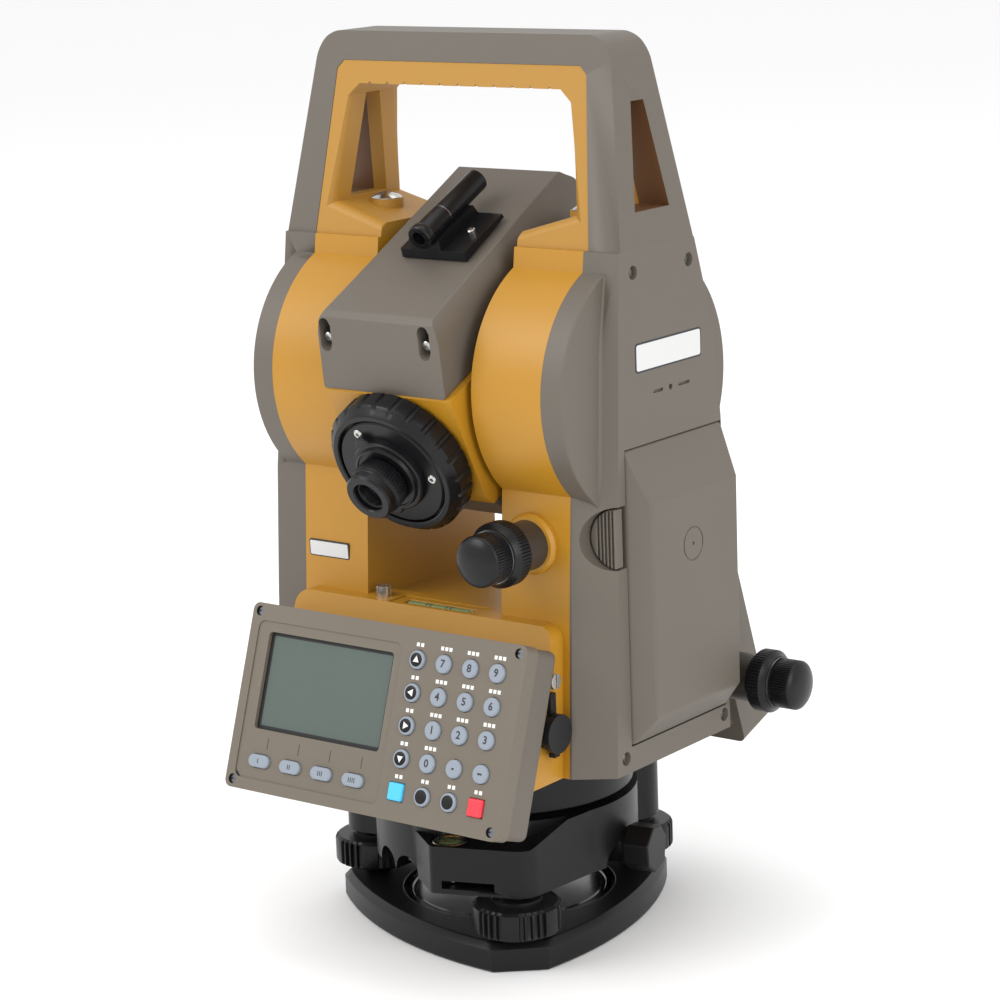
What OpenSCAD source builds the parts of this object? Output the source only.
// Surveying total station on a three-screw tribrach.
// Z is the standing (vertical) axis, -Y the keyboard side, +X the battery side.
// The origin is on the standing axis, at the bottom face of the foot plate.

/* [Overall] */
// Height of the tilting axis above the bottom of the foot plate
axis_z = 219; // [218:0.5:221]
// Height to the top of the carrying handle
total_h = 345; // [341:1:351]
// Distance from the standing axis to the outer face of each side cover
body_half = 78; // [77:0.5:80]
// Upward tilt of the telescope's objective end in the stored pose, degrees
tel_tilt = 26; // [0:1:30]

/* [Body] */
// Distance from the standing axis to the inner face of each standard
yoke_half = 32; // [31.5:0.5:33]
// Distance from the standing axis to the joint between standard and side cover
seam_half = 63; // [62:0.5:65]
// Height of the seam between body and handle
handle_z = 269; // [267:1:271]
// Height of the lower edge of the body
body_z = 76; // [75.5:0.5:78]
// Height of the deck between the standards
deck_z = 132; // [131:0.5:132.5]
// Radius of the round bulge that carries the telescope bearings
bulge_r = 48.5; // [47:0.5:49]

/* [Keyboard unit] */
// Width of the keyboard unit
panel_w = 130; // [126:1:134]
// Height of the keyboard unit along its face
panel_h = 71; // [70:1:74]
// Depth of the keyboard unit from its face to its back
panel_t = 20; // [18:1:22]
// Lean of the keyboard face from the vertical, degrees
panel_tilt = 19; // [16:1:22]
// Travel of every key
key_travel = 0.8; // [0.4:0.1:1]

/* [Tribrach] */
// Distance from the standing axis to each foot screw
screw_ring_r = 59; // [58:0.5:60]
// Direction of the first foot screw, degrees round from the keyboard side
screw_turn = 40; // [30:1:50]
// Radius of a foot screw's thumbwheel
wheel_r = 17; // [15:0.5:17.5]
// Levelling travel of the tribrach upwards from its stored height
level_up = 4; // [1:0.5:5]
// Levelling travel of the tribrach downwards from its stored height
level_down = 1.2; // [0.2:0.1:1.2]

/* [Telescope] */
// Distance from the tilting axis to the eye end
eye_y = 85; // [80:1:86]
// Radius of the focusing ring
focus_r = 28.6; // [25:0.2:29]

/* [Hidden] */
$fn = 64;

fit = 0.05;          // radial clearance of a running fit
gap = 0.35;          // clearance between moving parts that don't guide each other
wall = 4;            // wall of the body castings
cut = 1;             // overrun of a cutting shape past the face it cuts

// Foot plate and spring plate
foot_h = 11.5;
foot_edge = 2.6;     // chamfer round the top
foot_side = 154;     // radius of the three long sides
foot_mid = 53.6;     // distance from the axis to the middle of a long side
foot_nose = 69;      // distance from the axis to the blunt corners
tray_r = 41.8;       // recess for the spring plate
tray_z = 9;
spring_r = 41.2;
spring_t = 1.4;
thread_r = 6.75;     // wall of a 5/8"-11 tripod thread, all the way through its hub
hub_r = 13;
hub_room = 8;        // clear width round the hub
socket_depth = 5;    // depth of a foot screw's seat in the foot plate

// Foot screws and tribrach
ball_r = 5;
stem_r = 4.5;
wheel_z = 13.6;
wheel_h = 11.5;
collar_r = 9.8;
collar_h = 1.4;
arm_z = 28;          // underside of the tribrach
thread_hold = 9.1;   // stem still inside the arm at the top of the levelling travel
stem_len = arm_z - wheel_z - wheel_h + thread_hold + level_up;
arm_top = 46.5;
ring_r = 51.5;
ring_top = 53;
sleeve_r = 11.5;
bore_depth = wheel_z + wheel_h + stem_len + level_down + 0.5 - arm_z;
// The front arm, with X out along the arm and Y round to the lever's side
arm_corner = [52.8, -29.5];
arm_corner_r = 3;
arm_nose = [57.5, 1.5];
arm_nose_r = 9.3;
shoulder_y = 5;      // where the arm's top starts to climb to the ring
shoulder_tilt = 23;
arm_slot_y = [-28, -8.5];
arm_slot_z = [30, 33.2];
level_pos = [49.1, -24];
level_r = 7;
lever_turn = 100;    // direction of the clamp lever
lever_z = 33;
lever_pin_r = 3;
lever_boss = 1.5;    // height of the lever's boss above the ring

// Instrument foot and spindle
flange_r = 50;
flange_z = 55;
flange_top = 74.7;
plug_r = 42;
plug_z = 44.5;
pin_r = 4.5;
pin_ring = 30;
pin_low = 35;
spindle_r = 10;
spindle_disc_r = 26;

// Side profile of the body: [height, front, rear]
PROFILE = [[handle_z, 25, 24], [235, 29.5, 35], [199, 35, 39.5], [179, 37.7, 40], [133, 40.6, 41.2],
           [body_z, 43.5, 42]];
DECK = [for (p = PROFILE) if (p[0] < deck_z + 2) [min(p[0], deck_z), p[1], p[2]]];
// The outer edge of the battery-side cover stands back a little at the front
OUTER = [[handle_z, 24.6, 24], [235, 25.5, 35], [199, 27.5, 39.5], [179, 28.3, 40], [133, 30.8, 41.2],
         [body_z, 34, 42]];
boss_half = 60;      // half width of the front boss behind the keyboard unit
boss_top = 134;
port_pos = [-52, 96];    // y and z of the data socket's centre, on the side of the boss
port_r = 5;
handle_screw_x = 47.5;
handle_boss_h = 11.3;
bulge_y = [-5.5, 3]; // centres of the bulge's front and rear arcs
bulge_drop = 1.4;    // their distance below the tilting axis
bulge_x = 72.4;

// Battery and its latch
battery_y = [-24, 39];
battery_z = [86, 197];
battery_bulge = 7.5;
latch_z = 165.5;
latch_r = 11;
latch_front = -31.3;
latch_travel = 2;

// Keyboard unit
panel_pos = [0, -80, 99.5];
bezel_t = 7;
face_t = 2.2;
screen_x = [-55.5, 5.3];
screen_y = [-11.9, 25.1];
key_pitch = 12.2;
key_x0 = 17;
key_y0 = 24;
key_r = 3.5;
fkey_x0 = -49.8;
fkey_pitch = 15.3;
fkey_y = -23.9;
fkey_w = 10;
fkey_h = 5;
square_key = 6.6;
key_top = 1.2;
key_root = -face_t - 2 * key_travel;
key_room = 0.2;      // gap all round a key
screw_x = 61.5;      // corner screws of the keyboard unit
screw_y = 32.3;

// Telescope, in its own level frame with the eye end at -Y
tel_half = 29;
tel_front = -57;
tel_rear = 52;
tel_low = -22;
tel_high = 26;
trunnion_r = 10;
tube_r = 12;
neck_r = 16;         // bearing of the focusing ring
plate_r = 22.4;      // fixed plate inside the focusing ring
face_y = -69.5;      // face of the focusing ring
lens_r = 20;
eye_bore = 6;

// Clamps and tangent screws
v_axis = [46, 162.4]; // x and z of the vertical clamp's axis
h_axis = [54, 93];   // y and z of the horizontal clamp's axis
knob_r = 9.6;
clamp_r = 12.2;
bush_r = 9.3;
clamp_w = 9;
knob_w = 11.5;
shaft_r = 3;
v_bush_y = -53.6;    // outer end of the vertical clamp's sleeve
h_bush_x = 83.6;     // outer end of the horizontal clamp's sleeve

GREY = [0.49, 0.46, 0.42];
YELLOW = [0.85, 0.66, 0.28];
BLACK = [0.13, 0.13, 0.14];
STEEL = [0.72, 0.72, 0.74];
KEY = [0.70, 0.75, 0.80];

// ---------- helpers ----------

// A flat outline drawn in Y and Z, extruded along X from x0 to x1
module along_x(x0, x1) {
    translate([x0, 0, 0]) rotate([90, 0, 90]) linear_extrude(x1 - x0) children();
}

// A flat outline drawn in X and Z, extruded along Y from y0 to y1
module along_y(y0, y1) {
    translate([0, y1, 0]) rotate([90, 0, 0]) linear_extrude(y1 - y0) children();
}

// A round bar of radius r along Y from y0 to y1
module bar_y(r, y0, y1) {
    translate([0, y1, 0]) rotate([90, 0, 0]) cylinder(h = y1 - y0, r = r);
}

// A round bar of radius r along X from x0 to x1
module bar_x(r, x0, x1) {
    translate([x0, 0, 0]) rotate([0, 90, 0]) cylinder(h = x1 - x0, r = r);
}

// A rectangle between two corners, with round corners
module soft_rect(low, high, r) {
    size = high - low;
    translate(low + [r, 0]) square([size.x - 2 * r, size.y]);
    translate(low + [0, r]) square([size.x, size.y - 2 * r]);
    for (x = [low.x + r, high.x - r], y = [low.y + r, high.y - r])
        translate([x, y]) circle(r = r);
}

// The straight flanks that wrap a circle of radius r at p and one of radius s at q, with the second circle
module strap(p, r, q, s) {
    span = norm(q - p);
    turn = atan2(q.y - p.y, q.x - p.x);
    lap = acos((r - s) / span);
    translate(q) circle(r = s);
    polygon([p + r * [cos(turn + lap), sin(turn + lap)], q + s * [cos(turn + lap), sin(turn + lap)],
             q + s * [cos(turn - lap), sin(turn - lap)], p + r * [cos(turn - lap), sin(turn - lap)]]);
}

// An outline wrapped tightly round both circles
module belt(p, r, q, s) {
    translate(p) circle(r = r);
    strap(p, r, q, s);
}

// Repeats its children round the standing axis, at each foot screw
module at_screws(turns = [0, 120, 240]) {
    for (turn = turns) rotate(screw_turn + turn - 90) children();
}

// The keyboard unit's own frame: X to the right, Y up its face, Z out of it
module in_panel() {
    translate(panel_pos) rotate([90 - panel_tilt, 0, 0]) children();
}

// The telescope's own level frame, tilted into the stored pose
module in_telescope() {
    translate([0, 0, axis_z]) rotate([tel_tilt, 0, 0]) children();
}

// The body seen from the side, moved in by a margin and cut off flat at height low
module body_outline(profile, margin = 0, low = body_z) {
    kept = [for (p = profile) if (p[0] >= low) p];
    last = kept[len(kept) - 1];
    points = last[0] > low ? concat(kept, [[low, last[1], last[2]]]) : kept;
    front = [for (p = points) [-p[1] + margin, p[0] - (p[0] == handle_z ? margin : 0)]];
    rear = [for (i = [len(points) - 1:-1:0])
        [points[i][2] - margin, points[i][0] - (points[i][0] == handle_z ? margin : 0)]];
    polygon(concat(front, rear));
}

module bulge_disc(r) {
    z = axis_z - bulge_drop;
    belt([bulge_y[0], z], r, [bulge_y[1], z], r);
}

// A round body with ribs for a fingertip grip, along +Z
module knurled(r, h, ribs, depth) {
    difference() {
        cylinder(h = h, r = r);
        for (i = [0:ribs - 1])
            rotate(i * 360 / ribs) translate([r, 0, -cut]) cylinder(h = h + 2 * cut, r = depth, $fn = 4);
    }
}

// ---------- base ----------

module foot_outline(shrink = 0) {
    intersection() {
        intersection_for(turn = [60, 180, 300])
            rotate(screw_turn + turn - 90) translate([foot_mid - foot_side, 0])
                circle(r = foot_side - shrink, $fn = 180);
        intersection_for(turn = [0, 120, 240])
            rotate(screw_turn + turn - 90) translate([-100, -100]) square([100 + foot_nose - shrink, 200]);
    }
}

module foot_plate() {
    steps = 3;
    color(BLACK) difference() {
        union() {
            linear_extrude(foot_h - foot_edge) foot_outline();
            for (i = [0:steps - 1])
                translate([0, 0, foot_h - foot_edge + i * foot_edge / steps])
                    linear_extrude(foot_edge / steps) foot_outline((i + 0.5) * foot_edge / steps);
        }
        translate([0, 0, tray_z]) cylinder(h = foot_h, r = tray_r, $fn = 96);
        translate([0, 0, -cut]) cylinder(h = foot_h, r = hub_r + hub_room);
        at_screws() translate([screw_ring_r, 0, foot_h - socket_depth])
            cylinder(h = foot_h, r = ball_r + fit);
    }
}

module spring_plate() {
    color(STEEL) difference() {
        union() {
            translate([0, 0, tray_z]) cylinder(h = spring_t, r = spring_r, $fn = 96);
            cylinder(h = tray_z + spring_t, r = hub_r);
        }
        translate([0, 0, -cut]) cylinder(h = foot_h + 2 * cut, r = thread_r);
    }
}

// A foot screw: ball end in the foot plate, ribbed wheel, collar and threaded stem
module foot_screw(turn) {
    grooves = 4;
    lobes = 6;
    color(BLACK) at_screws([turn]) translate([screw_ring_r, 0, 0]) {
        translate([0, 0, foot_h - socket_depth + 1])
            cylinder(h = wheel_z - foot_h + socket_depth - 1, r = ball_r);
        translate([0, 0, wheel_z]) difference() {
            cylinder(h = wheel_h, r = wheel_r);
            for (lobe = [0:lobes - 1], i = [0:grooves - 1])
                rotate((lobe * grooves * 1.5 + i) * 360 / (lobes * grooves * 1.5))
                    translate([wheel_r + 0.3, 0, -cut]) cylinder(h = wheel_h + 2 * cut, r = 1, $fn = 16);
        }
        translate([0, 0, wheel_z + wheel_h]) cylinder(h = collar_h, r = collar_r);
        translate([0, 0, wheel_z + wheel_h]) cylinder(h = stem_len, r = stem_r);
    }
}

module foot_screw_a() { foot_screw(0); }
module foot_screw_b() { foot_screw(120); }
module foot_screw_c() { foot_screw(240); }

// A rear arm of the tribrach, from the ring out to its sleeve
module arm_outline() {
    translate([screw_ring_r, 0]) circle(r = sleeve_r);
    translate([30, -sleeve_r]) square([screw_ring_r - 30, 2 * sleeve_r]);
}

// The front arm is wider on the circular level's side, and joins the ring in one smooth wall
module front_arm() {
    corner = arm_corner - [0, arm_corner_r];
    flank_in = 0.6; // how far inside the ring's wall the flanks would touch it
    linear_extrude(arm_top - arm_z) {
        belt(arm_nose, arm_nose_r, arm_corner, arm_corner_r);
        strap([0, 0], ring_r - flank_in, arm_nose, arm_nose_r);
        polygon([corner, [36, -36.7], [0, 0], arm_nose]);
    }
    difference() {
        linear_extrude(ring_top - arm_z) strap([0, 0], ring_r - flank_in, arm_nose, arm_nose_r);
        translate([-100, shoulder_y, arm_top - arm_z]) rotate([shoulder_tilt, 0, 0])
            translate([0, -100, 0]) cube([200, 200, 100]);
    }
}

module tribrach_body() {
    arch_r = 7;
    color(BLACK) difference() {
        union() {
            difference() {
                translate([0, 0, arm_z]) {
                    cylinder(h = ring_top - arm_z, r = ring_r, $fn = 96);
                    difference() {
                        union() {
                            at_screws([0]) front_arm();
                            at_screws([120, 240]) linear_extrude(ring_top - arm_z) arm_outline();
                        }
                        // the arms end inside the ring's wall
                        translate([0, 0, -cut]) cylinder(h = ring_top, r = plug_r + 4);
                    }
                }
                // arches that open the skirt between the arms
                at_screws([52, 68, 172, 188, 292, 308])
                    translate([0, 0, arm_z]) bar_x(arch_r, ring_r - 9, ring_r + 10);
            }
            rotate(lever_turn - 90) translate([0, 0, lever_z]) bar_x(7, plug_r + 2, ring_r + lever_boss);
        }
        // seat for the instrument foot, with a through hole for the plummet's sight line
        translate([0, 0, plug_z - gap]) cylinder(h = ring_top, r = plug_r + gap, $fn = 96);
        translate([0, 0, arm_z - cut]) cylinder(h = ring_top, r = 18);
        // holes for the three locking pins
        at_screws([60, 180, 300]) translate([pin_ring, 0, arm_z - cut]) cylinder(h = 30, r = pin_r + fit);
        // blind threads for the foot screws
        at_screws() translate([screw_ring_r, 0, arm_z - cut])
            cylinder(h = bore_depth + cut, r = stem_r + fit);
        // pocket for the circular level, and the adjusting slot below it
        at_screws([0]) {
            translate([level_pos.x, level_pos.y, arm_top - 4]) cylinder(h = 20, r = level_r + 0.2);
            translate([50, arm_slot_y[0], arm_slot_z[0]])
                cube([30, arm_slot_y[1] - arm_slot_y[0], arm_slot_z[1] - arm_slot_z[0]]);
        }
        rotate(lever_turn - 90) translate([0, 0, lever_z]) bar_x(lever_pin_r + fit, plug_r + 2, 70);
    }
}

module circular_level() {
    color(STEEL) at_screws([0]) translate([level_pos.x, level_pos.y, arm_top - 4]) difference() {
        cylinder(h = 4, r = level_r);
        translate([0, 0, 3]) cylinder(h = 2, r = level_r - 2.2);
    }
}

// Wedge-shaped clamp lever on a short radial pin
module tribrach_lever() {
    x0 = ring_r + lever_boss + gap;
    color(BLACK) rotate(lever_turn - 90) translate([0, 0, lever_z]) {
        bar_x(lever_pin_r, plug_r + 4, x0 + 1);
        along_x(x0, x0 + 11)
            polygon([[-8.5, 3.2], [-2.5, 9], [4.5, 8.2], [9, 2.5], [7.5, -7.5], [-1, -9.5], [-7.5, -5]]);
    }
}

// ---------- standing axis ----------

module instrument_foot() {
    color(BLACK) difference() {
        union() {
            translate([0, 0, flange_z]) cylinder(h = flange_top - flange_z, r = flange_r, $fn = 96);
            translate([0, 0, plug_z]) cylinder(h = flange_z - plug_z, r = plug_r, $fn = 96);
            at_screws([60, 180, 300]) translate([pin_ring, 0, pin_low])
                cylinder(h = plug_z - pin_low + 1, r = pin_r);
        }
        translate([0, 0, flange_z + 6]) cylinder(h = flange_top, r = spindle_disc_r + 8);
        translate([0, 0, plug_z - cut]) cylinder(h = flange_top, r = spindle_r + fit);
    }
}

module spindle() {
    color(STEEL) {
        translate([0, 0, plug_z + 3]) cylinder(h = body_z + 12 - plug_z - 3, r = spindle_r);
        translate([0, 0, body_z - 6]) cylinder(h = 6, r = spindle_disc_r);
    }
}

// ---------- alidade ----------

// One hollow standard between xi (yoke face) and xo (cover seam), for the right-hand side
module standard() {
    difference() {
        union() {
            along_x(yoke_half, seam_half) body_outline(PROFILE);
            along_x(yoke_half, seam_half) bulge_disc(bulge_r);
        }
        along_x(yoke_half + wall, seam_half + cut) {
            body_outline(PROFILE, wall + 1, body_z + 66);
            bulge_disc(bulge_r - wall);
        }
    }
    translate([0, 0, axis_z]) bar_x(18, yoke_half, yoke_half + 14);
}

// Depth of the keyboard unit's back plane at height z
function back_y(z) = panel_pos.y + panel_t * cos(panel_tilt)
    + (z - (panel_pos.z - panel_t * sin(panel_tilt))) * tan(panel_tilt);

module alidade_frame() {
    color(YELLOW) difference() {
        union() {
            standard();
            mirror([1, 0, 0]) standard();
            along_x(-yoke_half - cut, yoke_half + cut) body_outline(DECK);
            // boss that carries the keyboard unit
            intersection() {
                along_x(-boss_half - 2, boss_half)
                    polygon([[-30, body_z], [back_y(body_z) + 0.1, body_z],
                             [back_y(boss_top) + 0.1, boss_top], [-30, boss_top]]);
                along_y(-80, -20) soft_rect([-boss_half - 2, body_z - 20], [boss_half, boss_top], 6);
            }
            // sleeves of the two clamps
            translate([v_axis.x, 0, v_axis.y]) bar_y(bush_r, v_bush_y, -30);
            translate([0, h_axis.x, h_axis.y]) bar_x(bush_r, 55, h_bush_x);
            translate([50, 38, h_axis.y - 13]) cube([seam_half - 50.1, 28, 26]);
        }
        // cavity under the deck
        along_x(-seam_half + 8, seam_half - 8)
            polygon([[-30, body_z + 6], [-30, deck_z - 6], [33, deck_z - 6], [33, body_z + 6]]);
        translate([0, 0, body_z - cut]) cylinder(h = 10 + 3 * cut, r = spindle_r + fit);
        // bearings of the tilting axis
        translate([0, 0, axis_z]) bar_x(trunnion_r + fit, -70, 70);
        // pocket of the plate level
        translate([-18, -46, deck_z - 4]) cube([42, 11, 8]);
        // data socket behind its cap
        translate([0, port_pos[0], port_pos[1]]) bar_x(port_r + 0.6, boss_half - 8, boss_half + cut);
        // bores of the clamp shafts
        translate([v_axis.x, 0, v_axis.y]) bar_y(shaft_r + fit, v_bush_y - cut, -38);
        translate([0, h_axis.x, h_axis.y]) bar_x(shaft_r + fit, 66, h_bush_x + cut);
        // threads of the two handle screws
        for (side = [-1, 1]) translate([side * handle_screw_x, 0, handle_z - 6]) cylinder(h = 10, r = 2.5);
    }
}

// Cover on the keyboard user's left
module left_cover() {
    color(GREY) difference() {
        union() {
            along_x(-body_half, -seam_half - 0.05) body_outline(PROFILE);
            along_x(-bulge_x, -seam_half - 0.05) bulge_disc(bulge_r);
        }
        along_x(-body_half + 3.5, -seam_half + cut) body_outline(PROFILE, 5, body_z + 5);
        cover_screw_holes(-1);
    }
}

// Recesses of the four cover screws on one side
COVER_SCREWS = [[-16, 261], [20, 261], [-28, 82], [38, 82]];
module cover_screw_holes(side) {
    for (p = COVER_SCREWS)
        translate([side * (body_half - 3), p.x, p.y]) rotate([0, side * 90, 0]) cylinder(h = 10, r = 2.6);
}

module right_cover() {
    color(GREY) difference() {
        union() {
            hull() {
                along_x(seam_half + 0.05, seam_half + 1) body_outline(PROFILE);
                along_x(body_half - 1, body_half) body_outline(OUTER);
            }
            along_x(seam_half + 0.05, bulge_x) bulge_disc(bulge_r);
        }
        // bay that the battery slides into
        translate([seam_half, battery_y[0] - gap, battery_z[0] - gap])
            cube([40, battery_y[1] - battery_y[0] + 2 * gap, battery_z[1] - battery_z[0] + 2 * gap]);
        // room for the latch
        along_y(-40, battery_y[0]) translate([body_half - 0.1, latch_z]) circle(r = latch_r + 0.7);
        along_x(seam_half - cut, body_half - 3.5) polygon([[-20, 203], [-17, 257], [17, 257], [33, 203]]);
        cover_screw_holes(1);
    }
}

// Handle outline seen from the front, between two half widths and two heights
module handle_front(half_low, half_high, top, r) {
    polygon([[-half_low, handle_z], [-half_high, top - r], [-half_high + r, top],
             [half_high - r, top], [half_high, top - r], [half_low, handle_z]]);
}

// Handle outline seen from the side
module handle_side(low, high) {
    polygon([[-low, handle_z], [-high, total_h], [high, total_h], [low, handle_z]]);
}

grip_top = 334;
grip_low = 325.5;
trim_low = 64;
trim_high = 58;

module leg_windows() {
    along_x(-90, 90) polygon([[-11, 282], [-4, 321], [4, 321], [11, 282]]);
}

module handle_shell() {
    color(GREY) difference() {
        intersection() {
            along_y(-40, 40) handle_front(body_half, 68, total_h, 6);
            along_x(-90, 90) handle_side(23.5, 11);
        }
        along_y(-50, 50) translate([0, -0.1])
            handle_front(trim_low + 0.1, trim_high + 0.1, grip_top + 0.2, 3);
        leg_windows();
    }
}

module handle_grip() {
    ribs = 11;
    rib_pitch = 8.4;
    color(YELLOW) difference() {
        intersection() {
            along_y(-40, 40) difference() {
                handle_front(trim_low, trim_high, grip_top, 3);
                // opening under the grip, with feet that flare inwards
                polygon([[-yoke_half, handle_z - cut], [-yoke_half, 274], [-56.5, 281], [-52, 321],
                         [-47, grip_low], [47, grip_low], [52, 321], [56.5, 281],
                         [yoke_half, 274], [yoke_half, handle_z - cut]]);
            }
            along_x(-90, 90) handle_side(23.3, 10.8);
        }
        leg_windows();
        for (i = [0:ribs - 1])
            translate([(i - (ribs - 1) / 2) * rib_pitch, 0, grip_low]) rotate([0, -45, 0])
                cube([1.4, 30, 1.4], center = true);
    }
    color(YELLOW) for (side = [-1, 1]) translate([side * handle_screw_x, 0, handle_z])
        cylinder(h = handle_boss_h, r = 6.5);
}

// A recessed cylinder-head screw along +Z, its head's top at z = 0
module small_screw(r, h) {
    difference() {
        translate([0, 0, -h]) cylinder(h = h, r = r);
        translate([-r, -0.3, -0.5]) cube([2 * r, 0.6, 1]);
    }
}

module case_screws() {
    head_r = 6;
    color(STEEL) {
        for (side = [-1, 1]) translate([side * handle_screw_x, 0, handle_z + handle_boss_h + 0.02]) {
            intersection() {
                translate([0, 0, 2.6 - 9]) sphere(r = 9);
                cylinder(h = 3, r = head_r);
            }
        }
        for (side = [-1, 1], p = COVER_SCREWS)
            translate([side * (body_half - 1.6), p.x, p.y]) rotate([0, side * 90, 0]) small_screw(2.4, 1.4);
        in_panel() for (x = [-1, 1], y = [-1, 1])
            translate([x * screw_x, y * screw_y, -1]) small_screw(1.7, 1.8);
        translate([boss_half + 3.2, -50, 115]) rotate([0, 90, 0]) small_screw(2.9, 3.1);
        translate([-24.5, -40, boss_top + 4.1]) small_screw(3, 4.05);
    }
}

// ---------- keyboard unit ----------

module panel_slab(z0, z1, inset = 0, r = 3) {
    corner = [panel_w / 2 - inset, panel_h / 2 - inset];
    translate([0, 0, z0]) linear_extrude(z1 - z0) soft_rect(-corner, corner, r);
}

module display_case() {
    color(GREY) difference() {
        in_panel() panel_slab(-panel_t, -bezel_t - 0.02, 0.6, 3);
        in_panel() panel_slab(-panel_t + 3, -bezel_t + cut, 4.5, 2);
    }
}

module display_bezel() {
    color(GREY) in_panel() difference() {
        panel_slab(-bezel_t, 0);
        panel_slab(-bezel_t - cut, -face_t, 4.5, 2);
        // stepped field round the screen and function keys
        translate([0, 0, -0.5]) linear_extrude(cut) soft_rect([-61, -31], [8.9, 29], 3);
        translate([0, 0, -face_t - cut]) linear_extrude(2 * face_t)
            soft_rect([screen_x[0], screen_y[0]], [screen_x[1], screen_y[1]], 1.5);
        for (k = ROUND_KEYS) translate([key_pos(k).x, key_pos(k).y, -face_t - cut])
            cylinder(h = 2 * face_t + cut, r = key_r + key_room);
        for (k = SQUARE_KEYS) translate([key_pos(k).x, key_pos(k).y, 0])
            cube([square_key + 2 * key_room, square_key + 2 * key_room, 3 * face_t], center = true);
        for (i = [0:3]) translate([fkey_x0 + i * fkey_pitch, fkey_y, -face_t - cut])
            linear_extrude(2 * face_t + cut) stadium(fkey_w + 2 * key_room, fkey_h + 2 * key_room);
        for (x = [-1, 1], y = [-1, 1]) translate([x * screw_x, y * screw_y, -4]) cylinder(h = 5, r = 1.9);
    }
}

module lcd_window() {
    color([0.37, 0.44, 0.41]) in_panel() translate([0, 0, -face_t - 2.05]) linear_extrude(2)
        square_between([screen_x[0] - 2, screen_y[0] - 2], [screen_x[1] + 2, screen_y[1] + 2]);
}

module square_between(low, high) {
    translate(low) square(high - low);
}

module stadium(w, h) {
    square([w - h, h], center = true);
    for (side = [-1, 1]) translate([side * (w - h) / 2, 0]) circle(d = h);
}

// Column and row of each key in the main field
ROUND_KEYS = [[0, 0], [0, 1], [0, 2], [0, 3], [1, 0], [2, 0], [3, 0], [1, 1], [2, 1], [3, 1],
              [1, 2], [2, 2], [3, 2], [1, 3], [2, 3], [3, 3], [1, 4], [2, 4]];
SQUARE_KEYS = [[0, 4], [3, 4]];
function key_pos(k) = [key_x0 + k[0] * key_pitch, key_y0 - k[1] * key_pitch];

module round_key(column, row, tint = KEY) {
    p = key_pos([column, row]);
    color(tint) in_panel() translate([p.x, p.y, key_root]) cylinder(h = key_top - key_root, r = key_r);
}

module tile_key(column, row, tint) {
    p = key_pos([column, row]);
    color(tint) in_panel() translate([p.x, p.y, (key_root + key_top) / 2])
        cube([square_key, square_key, key_top - key_root], center = true);
}

module function_key(i) {
    color(KEY) in_panel() translate([fkey_x0 + i * fkey_pitch, fkey_y, key_root])
        linear_extrude(key_top - key_root - 0.3) stadium(fkey_w, fkey_h);
}

module key_up() { round_key(0, 0); }
module key_left() { round_key(0, 1); }
module key_right() { round_key(0, 2); }
module key_down() { round_key(0, 3); }
module key_enter() { tile_key(0, 4, [0.33, 0.78, 0.96]); }
module key_7() { round_key(1, 0); }
module key_8() { round_key(2, 0); }
module key_9() { round_key(3, 0); }
module key_4() { round_key(1, 1); }
module key_5() { round_key(2, 1); }
module key_6() { round_key(3, 1); }
module key_1() { round_key(1, 2); }
module key_2() { round_key(2, 2); }
module key_3() { round_key(3, 2); }
module key_0() { round_key(1, 3); }
module key_dot() { round_key(2, 3); }
module key_minus() { round_key(3, 3); }
module key_star() { round_key(1, 4, BLACK); }
module key_escape() { round_key(2, 4, BLACK); }
module key_power() { tile_key(3, 4, [0.90, 0.25, 0.30]); }
module key_f1() { function_key(0); }
module key_f2() { function_key(1); }
module key_f3() { function_key(2); }
module key_f4() { function_key(3); }

// Housing on the far side, shaped like the keyboard unit but with a plain face
module rear_unit() {
    color(GREY) difference() {
        union() {
            mirror([0, 1, 0]) in_panel() panel_slab(-panel_t, 0);
            along_x(-panel_w / 2 + 4, panel_w / 2 - 4)
                polygon([[43.8, 95], [43.8, 129], [54, 131], [76, 77], [70, 67]]);
        }
        // the horizontal clamp's bracket stands in a notch
        translate([46, 37, h_axis.y - 13.4]) cube([40, 29.4, 26.8]);
        mirror([0, 1, 0]) in_panel() translate([0, 0, -1]) linear_extrude(5)
            soft_rect([-52, -26], [52, 26], 4);
    }
}

module plate_level() {
    color(STEEL) {
        translate([-17.8, -45.8, deck_z - 3.9]) difference() {
            cube([41.6, 10.6, 5.4]);
            translate([5, 3, 2.6]) cube([31.6, 4.6, 4]);
        }
    }
}

module port_cap() {
    x0 = boss_half + 0.2;
    color(BLACK) translate([0, port_pos[0], port_pos[1]]) {
        bar_x(port_r, boss_half - 3, x0);
        bar_x(port_r + 1.4, x0, x0 + 4);
        bar_x(port_r + 2.3, x0 + 3, x0 + 5.5);
        // pull tab below and strap above
        translate([x0 + 1.2, -1.6, -9]) cube([2.6, 3.2, 6]);
        translate([x0, -0.4, 5]) cube([1.8, 3.4, 9.5]);
    }
}

// ---------- battery ----------

module battery() {
    y0 = battery_y[0];
    y1 = battery_y[1];
    z0 = battery_z[0];
    z1 = battery_z[1];
    outer_x = body_half + battery_bulge;
    color(GREY) {
        difference() {
            translate([seam_half + 0.4, y0, z0])
                cube([body_half - seam_half - 0.4, y1 - y0, z1 - z0]);
            // step in the front edge that the latch hooks behind
            translate([seam_half, y0 - cut, latch_z - latch_r - 1]) cube([6, 3, 2 * latch_r + 2]);
        }
        hull() {
            translate([body_half - 0.1, y0, z0]) cube([0.1, y1 - y0, z1 - z0]);
            translate([outer_x - 0.1, y0 + 6, z0 + 10]) cube([0.1, y1 - y0 - 6.5, 80.5]);
        }
    }
}

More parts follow.
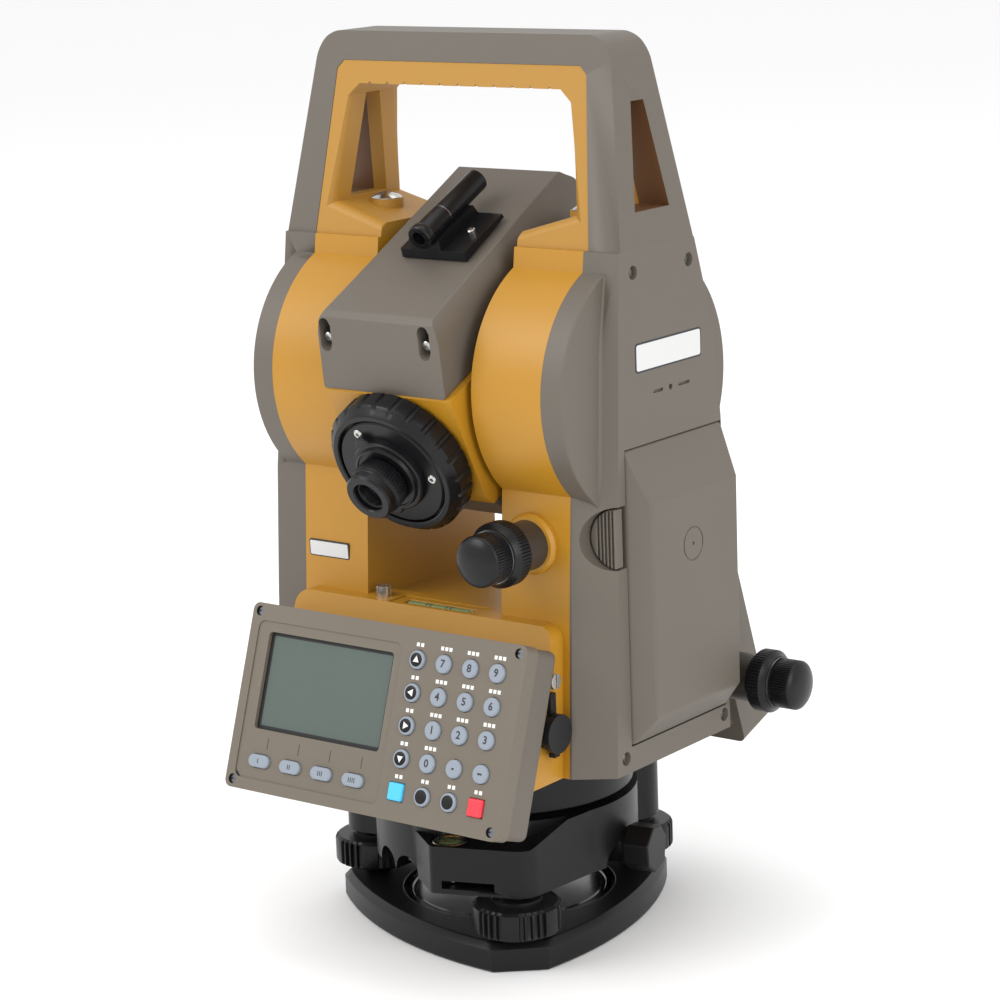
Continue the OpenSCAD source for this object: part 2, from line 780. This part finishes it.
module battery_latch() {
    x1 = body_half - 0.1;
    color(GREY) intersection() {
        translate([x1 - latch_r, latch_front, latch_z - latch_r])
            cube([latch_r, battery_y[0] - latch_travel - 0.5 - latch_front, 2 * latch_r]);
        along_y(-50, 0) translate([x1, latch_z]) circle(r = latch_r);
    }
}

// ---------- clamps and tangent screws ----------

// Ribbed clamp ring along +Z, bored for the tangent screw's shaft
module clamp_ring() {
    difference() {
        knurled(clamp_r, clamp_w, 40, 0.45);
        translate([0, 0, -cut]) cylinder(h = clamp_w + 2 * cut, r = shaft_r + fit);
    }
}

// Domed tangent knob along +Z with its shaft running back through the clamp
module tangent_knob() {
    dome_h = 2.5;
    dome_r = 24;
    knurled(knob_r, knob_w - dome_h, 32, 0.35);
    intersection() {
        translate([0, 0, knob_w - dome_r]) sphere(r = dome_r);
        translate([0, 0, knob_w - dome_h]) cylinder(h = dome_h + cut, r = knob_r);
    }
    translate([0, 0, -clamp_w - 8]) cylinder(h = clamp_w + 9, r = shaft_r);
}

module v_clamp_ring() {
    color(BLACK) translate([v_axis.x, v_bush_y - gap, v_axis.y]) rotate([90, 0, 0]) clamp_ring();
}

module v_tangent_knob() {
    y = v_bush_y - 2 * gap - clamp_w;
    color(BLACK) translate([v_axis.x, y, v_axis.y]) rotate([90, 0, 0]) tangent_knob();
}

module h_clamp_ring() {
    color(BLACK) translate([h_bush_x + gap, h_axis.x, h_axis.y]) rotate([0, 90, 0]) clamp_ring();
}

module h_tangent_knob() {
    x = h_bush_x + 2 * gap + clamp_w;
    color(BLACK) translate([x, h_axis.x, h_axis.y]) rotate([0, 90, 0]) tangent_knob();
}

// ---------- telescope ----------

module telescope_body() {
    color(YELLOW) in_telescope() difference() {
        union() {
            along_x(-tel_half, tel_half)
                polygon([[tel_front + 3, tel_low], [tel_front, tel_low + 6], [tel_front, tel_high],
                         [tel_rear, tel_high], [tel_rear, tel_low]]);
            bar_y(neck_r, face_y + 3, tel_front);
            bar_y(tube_r, -73, tel_front);
            bar_y(25, tel_rear, tel_rear + 10);
            bar_x(trunnion_r, -yoke_half - 13, yoke_half + 13);
        }
        bar_y(lens_r, -40, tel_rear + 11);
        bar_y(eye_bore, -75, -30);
    }
}

module telescope_top_cover() {
    top = 56;
    cover_shift = -2.2;
    color(GREY) in_telescope() difference() {
        intersection() {
            along_x(-40, 40)
                polygon([[tel_front + 1, tel_high + 0.05], [-47, 52], [-44, 53.5], [48, top + 1],
                         [tel_rear, top - 4], [tel_rear + 1, tel_high + 0.05]]);
            along_y(-90, 90) translate([cover_shift, 0])
                polygon([[-26, tel_high - 4], [-28.4, tel_high + 1], [-28.2, 46], [-27, 51], [-24.6, 54.5],
                         [-22, 62], [22, 62], [24.6, 54.5], [27, 51], [28.2, 46], [28.4, tel_high + 1],
                         [26, tel_high - 4]]);
        }
        along_x(-22, 22) polygon([[-44, tel_high - cut], [-40, 49], [44, 51], [46, tel_high - cut]]);
        // upright slots over the two screws in the front
        for (x = [-27, 19.2])
            along_y(-60, -42) belt([x, 42], 2.5, [x, 49], 2.5);
    }
}

module telescope_bottom_cover() {
    color(GREY) in_telescope() difference() {
        along_x(-tel_half, tel_half)
            polygon([[tel_front + 4, tel_low - 0.05], [-46, -34], [-36, -40], [38, -40],
                     [tel_rear - 2, -30], [tel_rear - 1, tel_low - 0.05]]);
        along_x(-25, 25) polygon([[-44, tel_low + cut], [-34, -36], [36, -36], [44, tel_low + cut]]);
    }
}

module collimator_sight() {
    color(BLACK) in_telescope() {
        difference() {
            along_x(-13, 17) polygon([[-11, 55.3], [-10, 63], [14, 63], [16, 57.2]]);
            translate([6, -20, 59]) cube([20, 50, 10]);
            translate([-20, -20, 59]) cube([12, 50, 10]);
        }
        translate([0, 0, 65.5]) difference() {
            bar_y(4.4, -13, 27);
            bar_y(2.8, -14, -9);
            bar_y(2.8, 23, 28);
        }
    }
}

// Fixed flange that holds the eyepiece, inside the focusing ring
module eyepiece_mount() {
    color(BLACK) in_telescope() difference() {
        union() {
            bar_y(plate_r, face_y + 0.4, face_y + 2.4);
            bar_y(neck_r, -73.4, face_y + 0.5);
        }
        bar_y(tube_r, -80, -60);
    }
}

module focus_ring() {
    groups = 8;
    grooves = 3;
    color(BLACK) in_telescope() difference() {
        bar_y(focus_r, face_y, tel_front - gap);
        bar_y(plate_r + 0.6, face_y - cut, face_y + 3);
        bar_y(neck_r + fit, -70, tel_front + 2);
        for (g = [0:groups - 1], i = [0:grooves - 1])
            rotate([0, (g * grooves * 2 + i) * 360 / (groups * grooves * 2), 0])
                translate([focus_r + 0.5, 0, 0]) bar_y(1.3, face_y + 2, tel_front, $fn = 16);
    }
}

// Turning dioptre ring with a hollow eye
module eyepiece() {
    color(BLACK) in_telescope() difference() {
        union() {
            translate([0, -73.7, 0]) rotate([90, 0, 0]) knurled(10.4, 7, 36, 0.4);
            bar_y(9.7, -eye_y, -80.6);
            bar_y(eye_bore - fit, -74, -68);
        }
        bar_y(4.2, -eye_y - cut, -60);
        bar_y(6, -eye_y - cut, -eye_y + 3);
    }
}

module objective_lens() {
    color([0.35, 0.45, 0.5]) in_telescope() bar_y(lens_r - 0.1, tel_rear + 2, tel_rear + 6);
}

foot_plate();
spring_plate();
foot_screw_a();
foot_screw_b();
foot_screw_c();
tribrach_body();
circular_level();
tribrach_lever();
instrument_foot();
spindle();
alidade_frame();
left_cover();
right_cover();
handle_shell();
handle_grip();
case_screws();
display_case();
display_bezel();
lcd_window();
rear_unit();
plate_level();
port_cap();
battery();
battery_latch();
v_clamp_ring();
v_tangent_knob();
h_clamp_ring();
h_tangent_knob();
telescope_body();
telescope_top_cover();
telescope_bottom_cover();
collimator_sight();
eyepiece_mount();
objective_lens();
focus_ring();
eyepiece();
key_up();
key_left();
key_right();
key_down();
key_enter();
key_7();
key_8();
key_9();
key_4();
key_5();
key_6();
key_1();
key_2();
key_3();
key_0();
key_dot();
key_minus();
key_star();
key_escape();
key_power();
key_f1();
key_f2();
key_f3();
key_f4();
